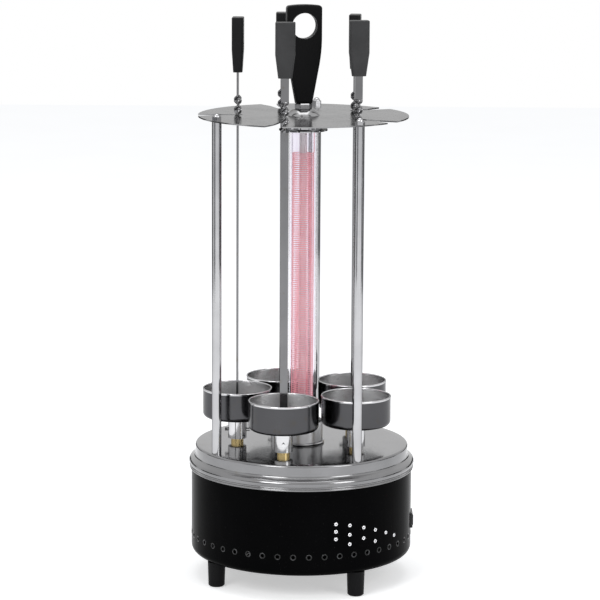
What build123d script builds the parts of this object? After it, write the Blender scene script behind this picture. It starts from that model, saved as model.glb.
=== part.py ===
from build123d import *
from math import acos, cos, hypot, pi, radians, sin, sqrt, tan
import os

# Upright electric skewer grill: a quartz heater stands on a drum base, five flat skewers
# turn around it in drip cups, and three posts carry a slotted top plate with a carry handle.
# Millimetres. +Z is up, the front is -Y, and the origin is on the table under the axis.
# Angles round the axis are in degrees from the front (-Y) towards +X.

# ---------------------------------------------------------------- driving dimensions
fixed_gap = 0.05            # radial gap of parts that are pushed or screwed together
running_gap = 0.08          # radial gap of a shaft that turns in its bearing
loose_gap = 0.3             # gap between curved or stacked faces that only rest or pass
sheet = 0.8                 # steel sheet of the cover and the chassis
paint_sheet = 1.0           # painted sheet of the drum and its floor

housing_radius = 102.7
housing_height = 81.0
housing_corner = 6.5
housing_flange = 20.7       # how far the bottom flange is turned in

foot_height = 23.0
foot_top_radius = 8.2
foot_bottom_radius = 7.5
foot_edge = 1.2
foot_socket_depth = 14.0

cover_rise = 21.5           # from the top of the drum up to the top of the cover
cover_inset = 3.7           # the cover's wall stands this far inside the drum's
cover_edge = 2.0
cover_wall = 11.0
lip_overhang = 2.3          # the lip stands this far outside the drum
lip_drop = 18.2             # from the cover's top down to the widest line of its lip
lip_height = 5.2
lip_tuck = 1.1              # how far the lip's lower edge turns in
shoulder_fillet = 2.4
cover_hole_radius = 17.0

post_angles = (-57.8, 33.0, 172.2)
post_inset = 10.7           # from the drum's skin in to the posts
post_radius = 4.35
post_wall = 0.9
post_length = 305.1
rod_radius = 2.5

top_plate_margin = 4.6      # how far the plate runs past the middles of the posts
top_plate_sheet = 1.2

cap_nut_flats = 8.0
cap_nut_height = 3.2
cap_nut_dome = 3.2

station_count = 5
station_phase = -16.0
blade_turns = (0.0, 8.0, 85.0, 90.0, 88.0)   # how far each skewer's flat is turned from the front

slot_width = 8.6
slot_straight = 20.0        # from the skewer out to where each plate slot begins to widen
slot_mouth_width = 18.0

blade_width = 7.0
blade_thickness = 2.0
blade_point_length = 6.0
blade_point_width = 2.4
twist_start = 9.8           # below the top of the plate
twist_length = 28.0
twist_half_turns = 3
twist_steps = 12
blade_in_grip = 26.0

grip_bottom_over_plate = 39.2
grip_length = 50.0
grip_taper_length = 21.0
grip_width = 18.0
grip_thickness = 10.7
grip_foot_width = 12.6
grip_foot_thickness = 8.3
grip_corner = 2.6
grip_edge = 1.0

cup_radius = 32.0
cup_height = 27.5
cup_wall = 0.7
cup_corner = 4.5
cup_over_cover = 24.5

stem_radius = 8.5
stem_cone_radius = 13.0
stem_cone_height = 4.5
stem_over_cover = 4.1
stem_neck_radius = 5.5
stem_head_radius = 7.0
stem_head = 1.4
stem_pin_radius = 1.5
stem_pin_length = 23.0
stem_pin_height = 12.0      # above the cover
stem_key_depth = 6.5        # depth of the flat socket that drives the skewer
key_gap = 0.25              # between the skewer's flat and its socket
pin_gap = 0.02              # the pin is pressed into the stem

spindle_radius = 4.0
spindle_seat_radius = 5.0
spindle_seat_flats = 8.4
spindle_collar_radius = 6.6
spindle_foot = 8.0          # below the chassis
spindle_over_cover = 17.6

bush_radius = 5.75
bush_flange_radius = 8.0
bush_flange = 1.2
upper_bush_over_cover = 3.7
upper_bush_length = 9.5
lower_bush_length = 5.0

chassis_height = 65.0       # from the underside of the drum to the chassis
chassis_sheet = 2.0
chassis_inset = 5.7         # the chassis ends this far inside the drum's skin
hub_radius = 15.0
hub_wall = 2.0
hub_height = 13.0
hub_shoulder_radius = 18.0
hub_shoulder = 3.5

gear_module = 2.0
gear_width = 8.0
pressure_angle = 20.0
tooth_height_share = 0.85   # tooth height above the pitch circle, in modules
tooth_depth_share = 1.15    # tooth depth below the pitch circle, in modules
backlash = 0.35
drive_teeth = 40
spindle_teeth = 20
pinion_teeth = 10
drive_gear_web = 4.0
drive_gear_rim = 4.0
drive_gear_boss = 4.0
drive_gear_holes = 8
drive_gear_hole_share = 0.32

motor_angle = station_phase + 72.0 * 3.5
motor_depth = 21.0
motor_shaft_offset = 8.0
motor_rim_margin = 8.0       # from the deck's rim in to the motor's outer screw
motor_screw_margin = 6.0     # from the motor's can out to its screws
motor_ear_width = 9.0
motor_ear_sheet = 1.0
motor_corner = 2.0
motor_screw_radius = 1.5
motor_screw_head_radius = 2.8
motor_screw_head = 2.0
motor_nut_flats = 5.5
motor_nut = 2.4
motor_shaft_radius = 3.5
motor_shaft_depth = 12.0
motor_boss_radius = 6.0

socket_radius = 19.5
socket_height = 22.0
socket_wall = 0.8
socket_bead_radius = 1.2
socket_bead_sides = 8
socket_shoulder = 1.6

tube_radius = 13.0
tube_wall = 1.4
tube_foot_over_cover = 6.0
tube_top_drop = 8.6         # from the plate's underside down to the tube's top
former_radius = 3.5
former_plug_radius = 12.0
former_seat_radius = 18.4
former_spigot_radius = 11.2
former_spigot = 8.0
former_past_tube = 2.0
lead_hole_ring = 8.0
lead_hole_radius = 1.5
former_drop = 6.0           # below the cover's top

coil_radius = 10.0
coil_wire_radius = 0.8
coil_wire_sides = 6
coil_turns = 24
coil_foot_over_cover = 40.0
coil_height = 232.0
coil_bend = 2.0

holder_flange_radius = 22.3
holder_drop = 12.8          # from the plate's underside down to the flange
holder_neck_radius = 16.5
holder_sheet = 1.0
holder_bend = 1.2
holder_boss_radius = 6.0
holder_boss = 3.6
cap_roof = 3.0

dome_radius = 15.0
dome_height = 5.6
dome_top_radius = 8.0
dome_curve = 12.0
ferrule_flats = 14.0
ferrule_height = 5.2
ferrule_chamfer = 0.5
stud_radius = 3.0
stud_grip_depth = 16.0

carry_height = 90.0
carry_width = 32.5
carry_thickness = 10.5
carry_straight = 43.0
carry_foot_width = 15.0
carry_hole_radius = 11.7
carry_hole_drop = 19.3
carry_crown = 1.2
carry_top_corner = 3.0
carry_waist_radius = 150.0
carry_edge = 2.2
carry_turn = 11.0           # the handle's face is turned this far towards +X

vent_count = 45
vent_radius = 2.1
vent_height = 18.5          # above the drum's underside
fan_vent_radius = 1.7
fan_columns = (             # angle, top hole above the drum's underside, pitch downwards, holes
    (17.9, 48.5, 7.0, 3),
    (25.5, 46.3, 8.8, 3),
    (33.7, 42.5, 9.9, 2),
    (41.3, 38.2, 10.5, 2),
    (49.1, 33.2, 0.0, 1),
    (56.4, 28.0, 0.0, 1),
)
floor_slot_count = 12
floor_slot_ring = 58.0
floor_slot_length = 22.0
floor_slot_width = 3.6

switch_height = 29.5        # centre, above the drum's underside
bezel_width = 21.0
bezel_height = 14.0
bezel_proud = 1.5
bezel_sink = 1.2            # how far the bezel's ends reach round the drum's curve
bezel_corner = 1.0
switch_width = 19.0
switch_tall = 12.4
switch_depth = 16.0
rocker_width = 15.2
rocker_tall = 9.8
rocker_end = 5.9            # from the pivot out to the rocker's raised ends
rocker_valley = 4.9
rocker_tail = 3.0
rocker_tilt = 8.0
rocker_pin_radius = 1.5
rocker_room = 0.35
rocker_pivot_out = -4.7     # from the drum's skin out to the rocker's pivot
rocker_bay_width = 17.2
rocker_bay_depth = 10.5

gland_height = 17.0
gland_flange_radius = 8.5
gland_proud = 2.2
gland_body_radius = 6.0
gland_bore_radius = 3.6
gland_depth = 13.0
gland_catch_radius = 7.2
gland_catch_length = 3.0

terminal_length = 26.0
terminal_width = 14.0
terminal_tall = 11.0
terminal_ring = 56.0
terminal_angle = 150.0
terminal_screw_radius = 1.8
terminal_screw_pitch = 8.0

# ---------------------------------------------------------------- sizes that follow
drum_foot = foot_height
drum_top = drum_foot + housing_height
floor_top = drum_foot + 2 * paint_sheet
cover_top = drum_top + cover_rise
cover_under = cover_top - sheet
chassis_under = drum_foot + chassis_height
chassis_top = chassis_under + chassis_sheet
plate_under = cover_top + post_length
plate_top = plate_under + top_plate_sheet
gear_foot = chassis_top + hub_shoulder + loose_gap
tube_foot = cover_top + tube_foot_over_cover
spigot_top = tube_foot + former_spigot
tube_top = plate_under - tube_top_drop
holder_foot = plate_under - holder_drop
coil_foot = cover_top + coil_foot_over_cover
coil_pitch = coil_height / coil_turns
carry_foot = plate_top + dome_height + ferrule_height
stud_foot = plate_under - holder_sheet - holder_boss
cover_radius = housing_radius - cover_inset
lip_radius = housing_radius + lip_overhang
chassis_radius = housing_radius - chassis_inset
post_ring_radius = housing_radius - post_inset
top_plate_radius = post_ring_radius + top_plate_margin
station_angles = [station_phase + 360 / station_count * k for k in range(station_count)]
drive_pitch_radius = gear_module * drive_teeth / 2
station_radius = drive_pitch_radius + gear_module * spindle_teeth / 2
pinion_ring = drive_pitch_radius + gear_module * pinion_teeth / 2
motor_ear_reach = chassis_radius - pinion_ring - motor_shaft_offset - motor_rim_margin
motor_radius = motor_ear_reach - motor_screw_margin


def around(radius, angle, height=0.0, turn=None):
    """A plane at a radius and angle round the axis, its x pointing away from the axis."""
    x_angle = radians(angle - 90 if turn is None else turn)
    at = (radius * sin(radians(angle)), -radius * cos(radians(angle)), height)
    return Plane(origin=at, x_dir=(cos(x_angle), sin(x_angle), 0), z_dir=(0, 0, 1))


def spots(radius, angles):
    """Sketch locations round the axis, each turned to face away from it."""
    return [Location((radius * sin(radians(a)), -radius * cos(radians(a))), a - 90) for a in angles]


def through_wall(angle, height):
    """A plane on the drum's skin whose z points straight out of it and whose y points up."""
    out = Vector(sin(radians(angle)), -cos(radians(angle)), 0)
    return Plane(origin=out * housing_radius + Vector(0, 0, height), x_dir=(-out.Y, out.X, 0), z_dir=out)


def write(piece, name):
    piece.part.label = name
    export_step(piece.part, f"parts/{name}.step")


os.makedirs("parts", exist_ok=True)

# ---------------------------------------------------------------- drum, floor and feet
with BuildPart() as housing_drum:
    with BuildSketch(Plane.XZ):
        with BuildLine():
            skin = FilletPolyline(
                (housing_radius - housing_flange, drum_foot),
                (housing_radius, drum_foot),
                (housing_radius, drum_top),
                radius=housing_corner,
            )
            offset(skin, amount=paint_sheet, side=Side.LEFT)
        make_face()
    revolve(axis=Axis.Z)
    with BuildSketch(Plane.XY.offset(drum_foot)):
        with Locations(*spots(post_ring_radius, post_angles)):
            Circle(rod_radius + fixed_gap)
    extrude(amount=paint_sheet, mode=Mode.SUBTRACT)
    for vent in range(vent_count):
        vent_angle = 360 / vent_count * (vent + 0.5)
        if abs(vent_angle - 180) > 10:
            with BuildSketch(through_wall(vent_angle, drum_foot + vent_height)):
                Circle(vent_radius)
            extrude(amount=-3 * paint_sheet, mode=Mode.SUBTRACT)
    for fan_angle, fan_top, fan_pitch, fan_count in fan_columns:
        for row in range(fan_count):
            with BuildSketch(through_wall(fan_angle, drum_foot + fan_top - fan_pitch * row)):
                Circle(fan_vent_radius)
            extrude(amount=-3 * paint_sheet, mode=Mode.SUBTRACT)
    with BuildSketch(through_wall(90, drum_foot + switch_height)):
        Rectangle(switch_width + 2 * fixed_gap, switch_tall + 2 * fixed_gap)
    extrude(amount=-4 * paint_sheet, mode=Mode.SUBTRACT)
    with BuildSketch(through_wall(180, drum_foot + gland_height)):
        Circle(gland_body_radius + fixed_gap)
    extrude(amount=-4 * paint_sheet, mode=Mode.SUBTRACT)
write(housing_drum, "housing_drum")

with BuildPart() as bottom_plate:
    with BuildSketch(Plane.XY.offset(drum_foot + paint_sheet)):
        Circle(housing_radius - housing_corner - loose_gap)
        with Locations(*spots(post_ring_radius, post_angles)):
            Circle(rod_radius + fixed_gap, mode=Mode.SUBTRACT)
        with PolarLocations(floor_slot_ring, floor_slot_count):
            SlotOverall(floor_slot_length, floor_slot_width, mode=Mode.SUBTRACT)
    extrude(amount=paint_sheet)
write(bottom_plate, "bottom_plate")

with BuildPart() as feet:
    with BuildSketch(Plane.XZ):
        with BuildLine():
            Polyline(
                (0, 0),
                (foot_bottom_radius, 0),
                (foot_top_radius, foot_height),
                (rod_radius + fixed_gap, foot_height),
                (rod_radius + fixed_gap, foot_height - foot_socket_depth),
                (0, foot_height - foot_socket_depth),
                close=True,
            )
        make_face()
    revolve(axis=Axis.Z)
    chamfer(edges().group_by(Axis.Z)[0].filter_by(GeomType.CIRCLE), foot_edge)
foot_solid = feet.part
with BuildPart() as feet:
    with Locations(*spots(post_ring_radius, post_angles)):
        add(foot_solid)
write(feet, "feet")

# ---------------------------------------------------------------- chassis and spacers
with BuildPart() as chassis_plate:
    with BuildSketch(Plane.XY.offset(chassis_under)):
        Circle(chassis_radius)
        Circle(hub_radius - hub_wall, mode=Mode.SUBTRACT)
        with Locations(*spots(post_ring_radius, post_angles)):
            Circle(rod_radius + fixed_gap, mode=Mode.SUBTRACT)
        with Locations(*spots(station_radius, station_angles)):
            Circle(bush_radius + fixed_gap, mode=Mode.SUBTRACT)
        with Locations(*spots(pinion_ring, [motor_angle])):
            Circle(motor_boss_radius + fixed_gap, mode=Mode.SUBTRACT)
        with Locations(*spots(pinion_ring + motor_shaft_offset + motor_ear_reach, [motor_angle])):
            Circle(motor_screw_radius + fixed_gap, mode=Mode.SUBTRACT)
        with Locations(*spots(pinion_ring + motor_shaft_offset - motor_ear_reach, [motor_angle])):
            Circle(motor_screw_radius + fixed_gap, mode=Mode.SUBTRACT)
    extrude(amount=chassis_sheet)
    with BuildSketch(Plane.XY.offset(chassis_top)):
        Circle(hub_shoulder_radius)
        Circle(hub_radius - hub_wall, mode=Mode.SUBTRACT)
    extrude(amount=hub_shoulder)
    with BuildSketch(Plane.XY.offset(chassis_top)):
        Circle(hub_radius)
        Circle(hub_radius - hub_wall, mode=Mode.SUBTRACT)
    extrude(amount=hub_height)
write(chassis_plate, "chassis_plate")

with BuildPart() as frame_spacers:
    for spacer_foot, spacer_head in ((floor_top, chassis_under), (chassis_top, cover_under)):
        with BuildSketch(Plane.XY.offset(spacer_foot)):
            with Locations(*spots(post_ring_radius, post_angles)):
                Circle(post_radius)
                Circle(rod_radius + fixed_gap, mode=Mode.SUBTRACT)
        extrude(amount=spacer_head - spacer_foot)
write(frame_spacers, "frame_spacers")

with BuildPart() as tie_rods:
    with BuildSketch(Plane.XY.offset(foot_height - foot_socket_depth + loose_gap)):
        with Locations(*spots(post_ring_radius, post_angles)):
            Circle(rod_radius)
    extrude(amount=plate_top + cap_nut_height - foot_height + foot_socket_depth - loose_gap)
write(tie_rods, "tie_rods")

# ---------------------------------------------------------------- cover, posts, top plate
with BuildPart() as base_cover:
    lip_widest = cover_top - lip_drop
    with BuildSketch(Plane.XZ):
        with BuildLine():
            cover_skin = FilletPolyline(
                (cover_hole_radius, cover_top),
                (cover_radius, cover_top),
                (cover_radius, cover_top - cover_wall),
                (lip_radius, lip_widest + lip_height / 3),
                (lip_radius, lip_widest - lip_height / 3),
                (lip_radius - lip_tuck, lip_widest - lip_height),
                radius=[cover_edge, shoulder_fillet, shoulder_fillet, shoulder_fillet / 2],
            )
            offset(cover_skin, amount=sheet, side=Side.RIGHT)
        make_face()
    revolve(axis=Axis.Z)
    with BuildSketch(Plane.XY.offset(cover_under)):
        with Locations(*spots(post_ring_radius, post_angles)):
            Circle(rod_radius + fixed_gap)
        with Locations(*spots(station_radius, station_angles)):
            Circle(bush_radius + fixed_gap)
    extrude(amount=sheet, mode=Mode.SUBTRACT)
write(base_cover, "base_cover")

for post_name, post_angle in zip(("front_left", "front_right", "back"), post_angles):
    with BuildPart() as post:
        with BuildSketch(around(post_ring_radius, post_angle, cover_top)):
            Circle(post_radius)
            Circle(post_radius - post_wall, mode=Mode.SUBTRACT)
        extrude(amount=post_length)
    write(post, f"post_{post_name}")

mouth = top_plate_radius - station_radius + slot_width / 2
with BuildPart() as top_plate:
    with BuildSketch(Plane.XY.offset(plate_under)):
        Circle(top_plate_radius)
        Circle(stud_radius + fixed_gap, mode=Mode.SUBTRACT)
        with Locations(*spots(post_ring_radius, post_angles)):
            Circle(rod_radius + fixed_gap, mode=Mode.SUBTRACT)
        with Locations(*spots(station_radius, station_angles)):
            Circle(slot_width / 2, mode=Mode.SUBTRACT)
            Polygon(
                (0, -slot_width / 2),
                (slot_straight, -slot_width / 2),
                (mouth, -slot_mouth_width / 2),
                (mouth, slot_mouth_width / 2),
                (slot_straight, slot_width / 2),
                (0, slot_width / 2),
                align=None,
                mode=Mode.SUBTRACT,
            )
    extrude(amount=top_plate_sheet)
write(top_plate, "top_plate")

with BuildPart() as cap_nuts:
    with BuildSketch(Plane.XY.offset(plate_top)):
        with Locations(*spots(post_ring_radius, post_angles)):
            RegularPolygon(cap_nut_flats / 2, 6, major_radius=False)
    extrude(amount=cap_nut_height)
    with Locations((0, 0, plate_top + cap_nut_height)):
        with Locations(*spots(post_ring_radius, post_angles)):
            Sphere(cap_nut_dome, arc_size1=0, align=(Align.CENTER, Align.CENTER, Align.MIN))
    with BuildSketch(Plane.XY.offset(plate_top)):
        with Locations(*spots(post_ring_radius, post_angles)):
            Circle(rod_radius + fixed_gap)
    extrude(amount=cap_nut_height + fixed_gap, mode=Mode.SUBTRACT)
write(cap_nuts, "cap_nuts")

# ---------------------------------------------------------------- quartz heater
with BuildPart() as heater_socket:
    with BuildSketch(Plane.XZ):
        with BuildLine():
            socket_skin = Polyline(
                (socket_radius, cover_top),
                (socket_radius, cover_top + socket_height - socket_shoulder),
                (socket_radius - socket_shoulder, cover_top + socket_height),
                (tube_radius + loose_gap, cover_top + socket_height),
            )
            offset(socket_skin, amount=socket_wall, side=Side.LEFT, kind=Kind.INTERSECTION)
        make_face()
        with Locations((socket_radius - socket_wall + socket_bead_radius, cover_top + socket_bead_radius)):
            RegularPolygon(socket_bead_radius, socket_bead_sides)
    revolve(axis=Axis.Z)
write(heater_socket, "heater_socket")

with BuildPart() as coil_former:
    with BuildSketch(Plane.XZ):
        with BuildLine():
            Polyline(
                (0, cover_top - former_drop),
                (former_plug_radius, cover_top - former_drop),
                (former_plug_radius, cover_top),
                (former_seat_radius, cover_top),
                (former_seat_radius, tube_foot),
                (former_spigot_radius, tube_foot),
                (former_spigot_radius, spigot_top),
                (former_radius, spigot_top),
                (former_radius, tube_top + former_past_tube),
                (0, tube_top + former_past_tube),
                close=True,
            )
        make_face()
    revolve(axis=Axis.Z)
    with BuildSketch(Plane.XY.offset(cover_top - former_drop)):
        with PolarLocations(lead_hole_ring, 2):
            Circle(lead_hole_radius)
    extrude(amount=spigot_top - cover_top + former_drop, mode=Mode.SUBTRACT)
write(coil_former, "coil_former")

with BuildPart() as quartz_tube:
    with BuildSketch(Plane.XY.offset(tube_foot)):
        Circle(tube_radius)
        Circle(tube_radius - tube_wall, mode=Mode.SUBTRACT)
    extrude(amount=tube_top - tube_foot)
write(quartz_tube, "quartz_tube")


def coil_point(turn):
    """A point of the heating coil's helix after so many turns."""
    angle = 2 * pi * turn
    return Vector(coil_radius * cos(angle), coil_radius * sin(angle), coil_foot + coil_pitch * turn)


def coil_tangent(turn):
    angle = 2 * pi * turn
    rise = coil_pitch / (2 * pi)
    return Vector(-coil_radius * sin(angle), coil_radius * cos(angle), rise).normalized()


def biarc_joint(start, start_way, end, end_way):
    """Where two arcs that leave both ends along their directions meet, and their direction there."""
    chord = end - start
    ways = start_way + end_way
    across = chord.dot(ways)
    square = ways.dot(ways) - 4
    reach = (across - sqrt(across**2 - square * chord.dot(chord))) / square
    first_corner = start + start_way * reach
    second_corner = end - end_way * reach
    return (first_corner + second_corner) * 0.5, (second_corner - first_corner).normalized()


bend_reach = coil_bend * tan(acos(coil_tangent(0).Z) / 2)
upwards = Vector(0, 0, 1)
coil_head_bend = coil_point(coil_turns) + (coil_tangent(coil_turns) + upwards) * bend_reach
coil_foot_bend = coil_point(0) - (coil_tangent(0) + upwards) * bend_reach
with BuildPart() as heating_coil:
    with BuildLine() as coil_line:
        Line((coil_foot_bend.X, coil_foot_bend.Y, spigot_top), coil_foot_bend)
        TangentArc(coil_foot_bend, coil_point(0), tangent=upwards)
        for quarter in range(coil_turns * 4):
            start, end = quarter / 4, (quarter + 1) / 4
            joint, joint_way = biarc_joint(
                coil_point(start), coil_tangent(start), coil_point(end), coil_tangent(end)
            )
            TangentArc(coil_point(start), joint, tangent=coil_tangent(start))
            TangentArc(joint, coil_point(end), tangent=joint_way)
        TangentArc(coil_point(coil_turns), coil_head_bend, tangent=coil_tangent(coil_turns))
        Line(coil_head_bend, (coil_head_bend.X, coil_head_bend.Y, tube_top))
    with BuildSketch(Plane(coil_line.line @ 0, z_dir=upwards)):
        RegularPolygon(coil_wire_radius, coil_wire_sides)
    sweep(clean=False)
write(heating_coil, "heating_coil")

samples = [arc @ share for arc in coil_line.edges() for share in (0, 0.5)]
half_turn = 8
coil_gap = min(
    (samples[i] - samples[j]).length - 2 * coil_wire_radius
    for i in range(len(samples))
    for j in range(i + half_turn, min(i + 3 * half_turn, len(samples)))
)
print(f"heating coil: least gap to itself {coil_gap:.2f} mm")

with BuildPart() as insulator_cap:
    with BuildSketch(Plane.XZ):
        with BuildLine():
            Polyline(
                (tube_radius + fixed_gap, holder_foot),
                (holder_neck_radius - holder_sheet - fixed_gap, holder_foot),
                (holder_neck_radius - holder_sheet - fixed_gap, tube_top + cap_roof),
                (0, tube_top + cap_roof),
                (0, tube_top + former_past_tube + loose_gap),
                (former_radius + fixed_gap, tube_top + former_past_tube + loose_gap),
                (former_radius + fixed_gap, tube_top),
                (tube_radius + fixed_gap, tube_top),
                close=True,
            )
        make_face()
    revolve(axis=Axis.Z)
write(insulator_cap, "insulator_cap")

with BuildPart() as heater_holder:
    with BuildSketch(Plane.XZ):
        with BuildLine():
            holder_skin = Polyline(
                (holder_flange_radius, holder_foot + holder_sheet),
                (holder_neck_radius + holder_bend, holder_foot + holder_sheet),
                (holder_neck_radius, holder_foot + holder_sheet + holder_bend),
                (holder_neck_radius, plate_under - holder_bend),
                (holder_neck_radius - holder_bend, plate_under),
                (stud_radius + fixed_gap, plate_under),
            )
            offset(holder_skin, amount=holder_sheet, side=Side.LEFT, kind=Kind.INTERSECTION)
        make_face()
    revolve(axis=Axis.Z)
    with BuildSketch(Plane.XY.offset(plate_under - holder_sheet)):
        Circle(holder_boss_radius)
        Circle(stud_radius + fixed_gap, mode=Mode.SUBTRACT)
    extrude(amount=-holder_boss)
write(heater_holder, "heater_holder")

# ---------------------------------------------------------------- carry handle and its stud
with BuildPart() as dome_washer:
    with BuildSketch(Plane.XZ):
        with BuildLine():
            Line((stud_radius + fixed_gap, plate_top), (dome_radius, plate_top))
            RadiusArc((dome_radius, plate_top), (dome_top_radius, plate_top + dome_height), -dome_curve)
            Polyline(
                (dome_top_radius, plate_top + dome_height),
                (stud_radius + fixed_gap, plate_top + dome_height),
                (stud_radius + fixed_gap, plate_top),
            )
        make_face()
    revolve(axis=Axis.Z)
write(dome_washer, "dome_washer")

with BuildPart() as handle_stud:
    with BuildSketch(around(0, 0, plate_top + dome_height, turn=carry_turn)):
        RegularPolygon(ferrule_flats / 2, 6, major_radius=False)
    extrude(amount=ferrule_height)
    chamfer(edges().group_by(Axis.Z)[0] + edges().group_by(Axis.Z)[-1], ferrule_chamfer)
    with BuildSketch(Plane.XY.offset(stud_foot)):
        Circle(stud_radius)
    extrude(amount=carry_foot + stud_grip_depth - stud_foot)
write(handle_stud, "handle_stud")

carry_face = around(0, 0, carry_foot, turn=carry_turn)
carry_plane = Plane(origin=carry_face.origin, x_dir=carry_face.x_dir, z_dir=-carry_face.y_dir)
with BuildPart() as carry_handle:
    with BuildSketch(carry_plane):
        with BuildLine():
            Polyline(
                (-carry_width / 2, carry_height - carry_crown),
                (-carry_width / 2, carry_height - carry_straight),
                (-carry_foot_width / 2, 0),
                (carry_foot_width / 2, 0),
                (carry_width / 2, carry_height - carry_straight),
                (carry_width / 2, carry_height - carry_crown),
            )
            ThreePointArc(
                (carry_width / 2, carry_height - carry_crown),
                (0, carry_height),
                (-carry_width / 2, carry_height - carry_crown),
            )
        make_face()
        corners = vertices().group_by(Axis.Y)
        fillet(corners[-1], carry_top_corner)
        fillet(vertices().group_by(Axis.Y)[1], carry_waist_radius)
        with Locations((0, carry_height - carry_hole_drop)):
            Circle(carry_hole_radius, mode=Mode.SUBTRACT)
    extrude(amount=carry_thickness / 2, both=True)
    broad_faces = faces().sort_by(Axis(carry_plane.origin, carry_plane.z_dir))
    fillet(broad_faces[-1].outer_wire().edges() + broad_faces[0].outer_wire().edges(), carry_edge)
    with BuildSketch(Plane.XY.offset(carry_foot)):
        Circle(stud_radius + fixed_gap)
    extrude(amount=stud_grip_depth + loose_gap, mode=Mode.SUBTRACT)
write(carry_handle, "carry_handle")

# ---------------------------------------------------------------- gears


def tooth_profile(teeth):
    """Outline of a gear with involute flanks, one tooth centred on +X."""
    pitch = gear_module * teeth / 2
    base = pitch * cos(radians(pressure_angle))
    tip = pitch + gear_module * tooth_height_share
    root = pitch - gear_module * tooth_depth_share
    half_tooth = pi / (2 * teeth) - backlash / (2 * pitch)

    def half_angle(radius):
        """Half the tooth's angle at a radius, along the involute of the base circle."""
        if radius <= base:
            return half_tooth + tan(radians(pressure_angle)) - radians(pressure_angle)
        roll = acos(base / radius)
        start = tan(radians(pressure_angle)) - radians(pressure_angle)
        return half_tooth + start - (tan(roll) - roll)

    flank = (root, max(root, base), pitch, tip)
    outline = []
    for tooth in range(teeth):
        middle = 2 * pi * tooth / teeth
        outline += [(r * cos(middle - half_angle(r)), r * sin(middle - half_angle(r))) for r in flank]
        outline += [(r * cos(middle + half_angle(r)), r * sin(middle + half_angle(r))) for r in flank[::-1]]
    return [
        p for n, p in enumerate(outline)
        if hypot(p[0] - outline[n - 1][0], p[1] - outline[n - 1][1]) > 0.01
    ]


def mesh_turn(angle, teeth):
    """Turn of a gear so that its gap takes the drive gear's tooth at this angle round the axis."""
    drive_offset = ((station_phase - angle) / (360 / drive_teeth)) % 1
    return angle - 90 + 180 + (0.5 - drive_offset) * 360 / teeth


with BuildPart() as drive_gear:
    with BuildSketch(around(0, 0, gear_foot, turn=station_phase - 90)):
        with BuildLine():
            Polyline(*tooth_profile(drive_teeth), close=True)
        make_face()
        Circle(hub_radius + running_gap, mode=Mode.SUBTRACT)
    extrude(amount=gear_width)
    rim_inside = drive_pitch_radius - gear_module * tooth_depth_share - drive_gear_rim
    boss_outside = hub_radius + running_gap + drive_gear_boss
    with BuildSketch(Plane.XY.offset(gear_foot + drive_gear_web)):
        Circle(rim_inside)
        Circle(boss_outside, mode=Mode.SUBTRACT)
    extrude(amount=gear_width - drive_gear_web, mode=Mode.SUBTRACT)
    with BuildSketch(Plane.XY.offset(gear_foot)):
        with PolarLocations((rim_inside + boss_outside) / 2, drive_gear_holes):
            Circle((rim_inside - boss_outside) * drive_gear_hole_share)
    extrude(amount=drive_gear_web, mode=Mode.SUBTRACT)
write(drive_gear, "drive_gear")

pinion_top = gear_foot + gear_width
with BuildPart() as motor_pinion:
    with BuildSketch(around(pinion_ring, motor_angle, gear_foot, turn=mesh_turn(motor_angle, pinion_teeth))):
        with BuildLine():
            Polyline(*tooth_profile(pinion_teeth), close=True)
        make_face()
    extrude(amount=gear_width)
    with BuildSketch(around(pinion_ring, motor_angle, chassis_under - motor_shaft_depth)):
        Circle(motor_shaft_radius)
    extrude(amount=motor_shaft_depth + pinion_top - chassis_under)
write(motor_pinion, "motor_pinion")

motor_middle = pinion_ring + motor_shaft_offset
with BuildPart() as gear_motor:
    with BuildSketch(around(motor_middle, motor_angle, chassis_under)):
        Circle(motor_radius)
    extrude(amount=-motor_depth)
    chamfer(edges().group_by(Axis.Z)[0], motor_corner)
    with BuildSketch(around(motor_middle, motor_angle, chassis_under)):
        SlotCenterToCenter(2 * motor_ear_reach, motor_ear_width)
    extrude(amount=-motor_ear_sheet)
    with BuildSketch(around(pinion_ring, motor_angle, chassis_under)):
        Circle(motor_boss_radius)
    extrude(amount=chassis_sheet)
    with BuildSketch(around(pinion_ring, motor_angle, chassis_top)):
        Circle(motor_shaft_radius + running_gap)
    extrude(amount=-chassis_sheet - motor_shaft_depth - loose_gap, mode=Mode.SUBTRACT)
    with BuildSketch(around(motor_middle, motor_angle, chassis_under)):
        with Locations((motor_ear_reach, 0), (-motor_ear_reach, 0)):
            Circle(motor_screw_radius + fixed_gap)
    extrude(amount=-motor_ear_sheet, mode=Mode.SUBTRACT)
write(gear_motor, "gear_motor")

with BuildPart() as motor_screws:
    with BuildSketch(around(motor_middle, motor_angle, chassis_top)):
        with Locations((motor_ear_reach, 0), (-motor_ear_reach, 0)):
            Circle(motor_screw_head_radius)
    extrude(amount=motor_screw_head)
    with BuildSketch(around(motor_middle, motor_angle, chassis_top)):
        with Locations((motor_ear_reach, 0), (-motor_ear_reach, 0)):
            Circle(motor_screw_radius)
    extrude(amount=-chassis_sheet - motor_ear_sheet - motor_nut)
    with BuildSketch(around(motor_middle, motor_angle, chassis_under - motor_ear_sheet)):
        with Locations((motor_ear_reach, 0), (-motor_ear_reach, 0)):
            RegularPolygon(motor_nut_flats / 2, 6, major_radius=False)
    extrude(amount=-motor_nut)
write(motor_screws, "motor_screws")

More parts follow.
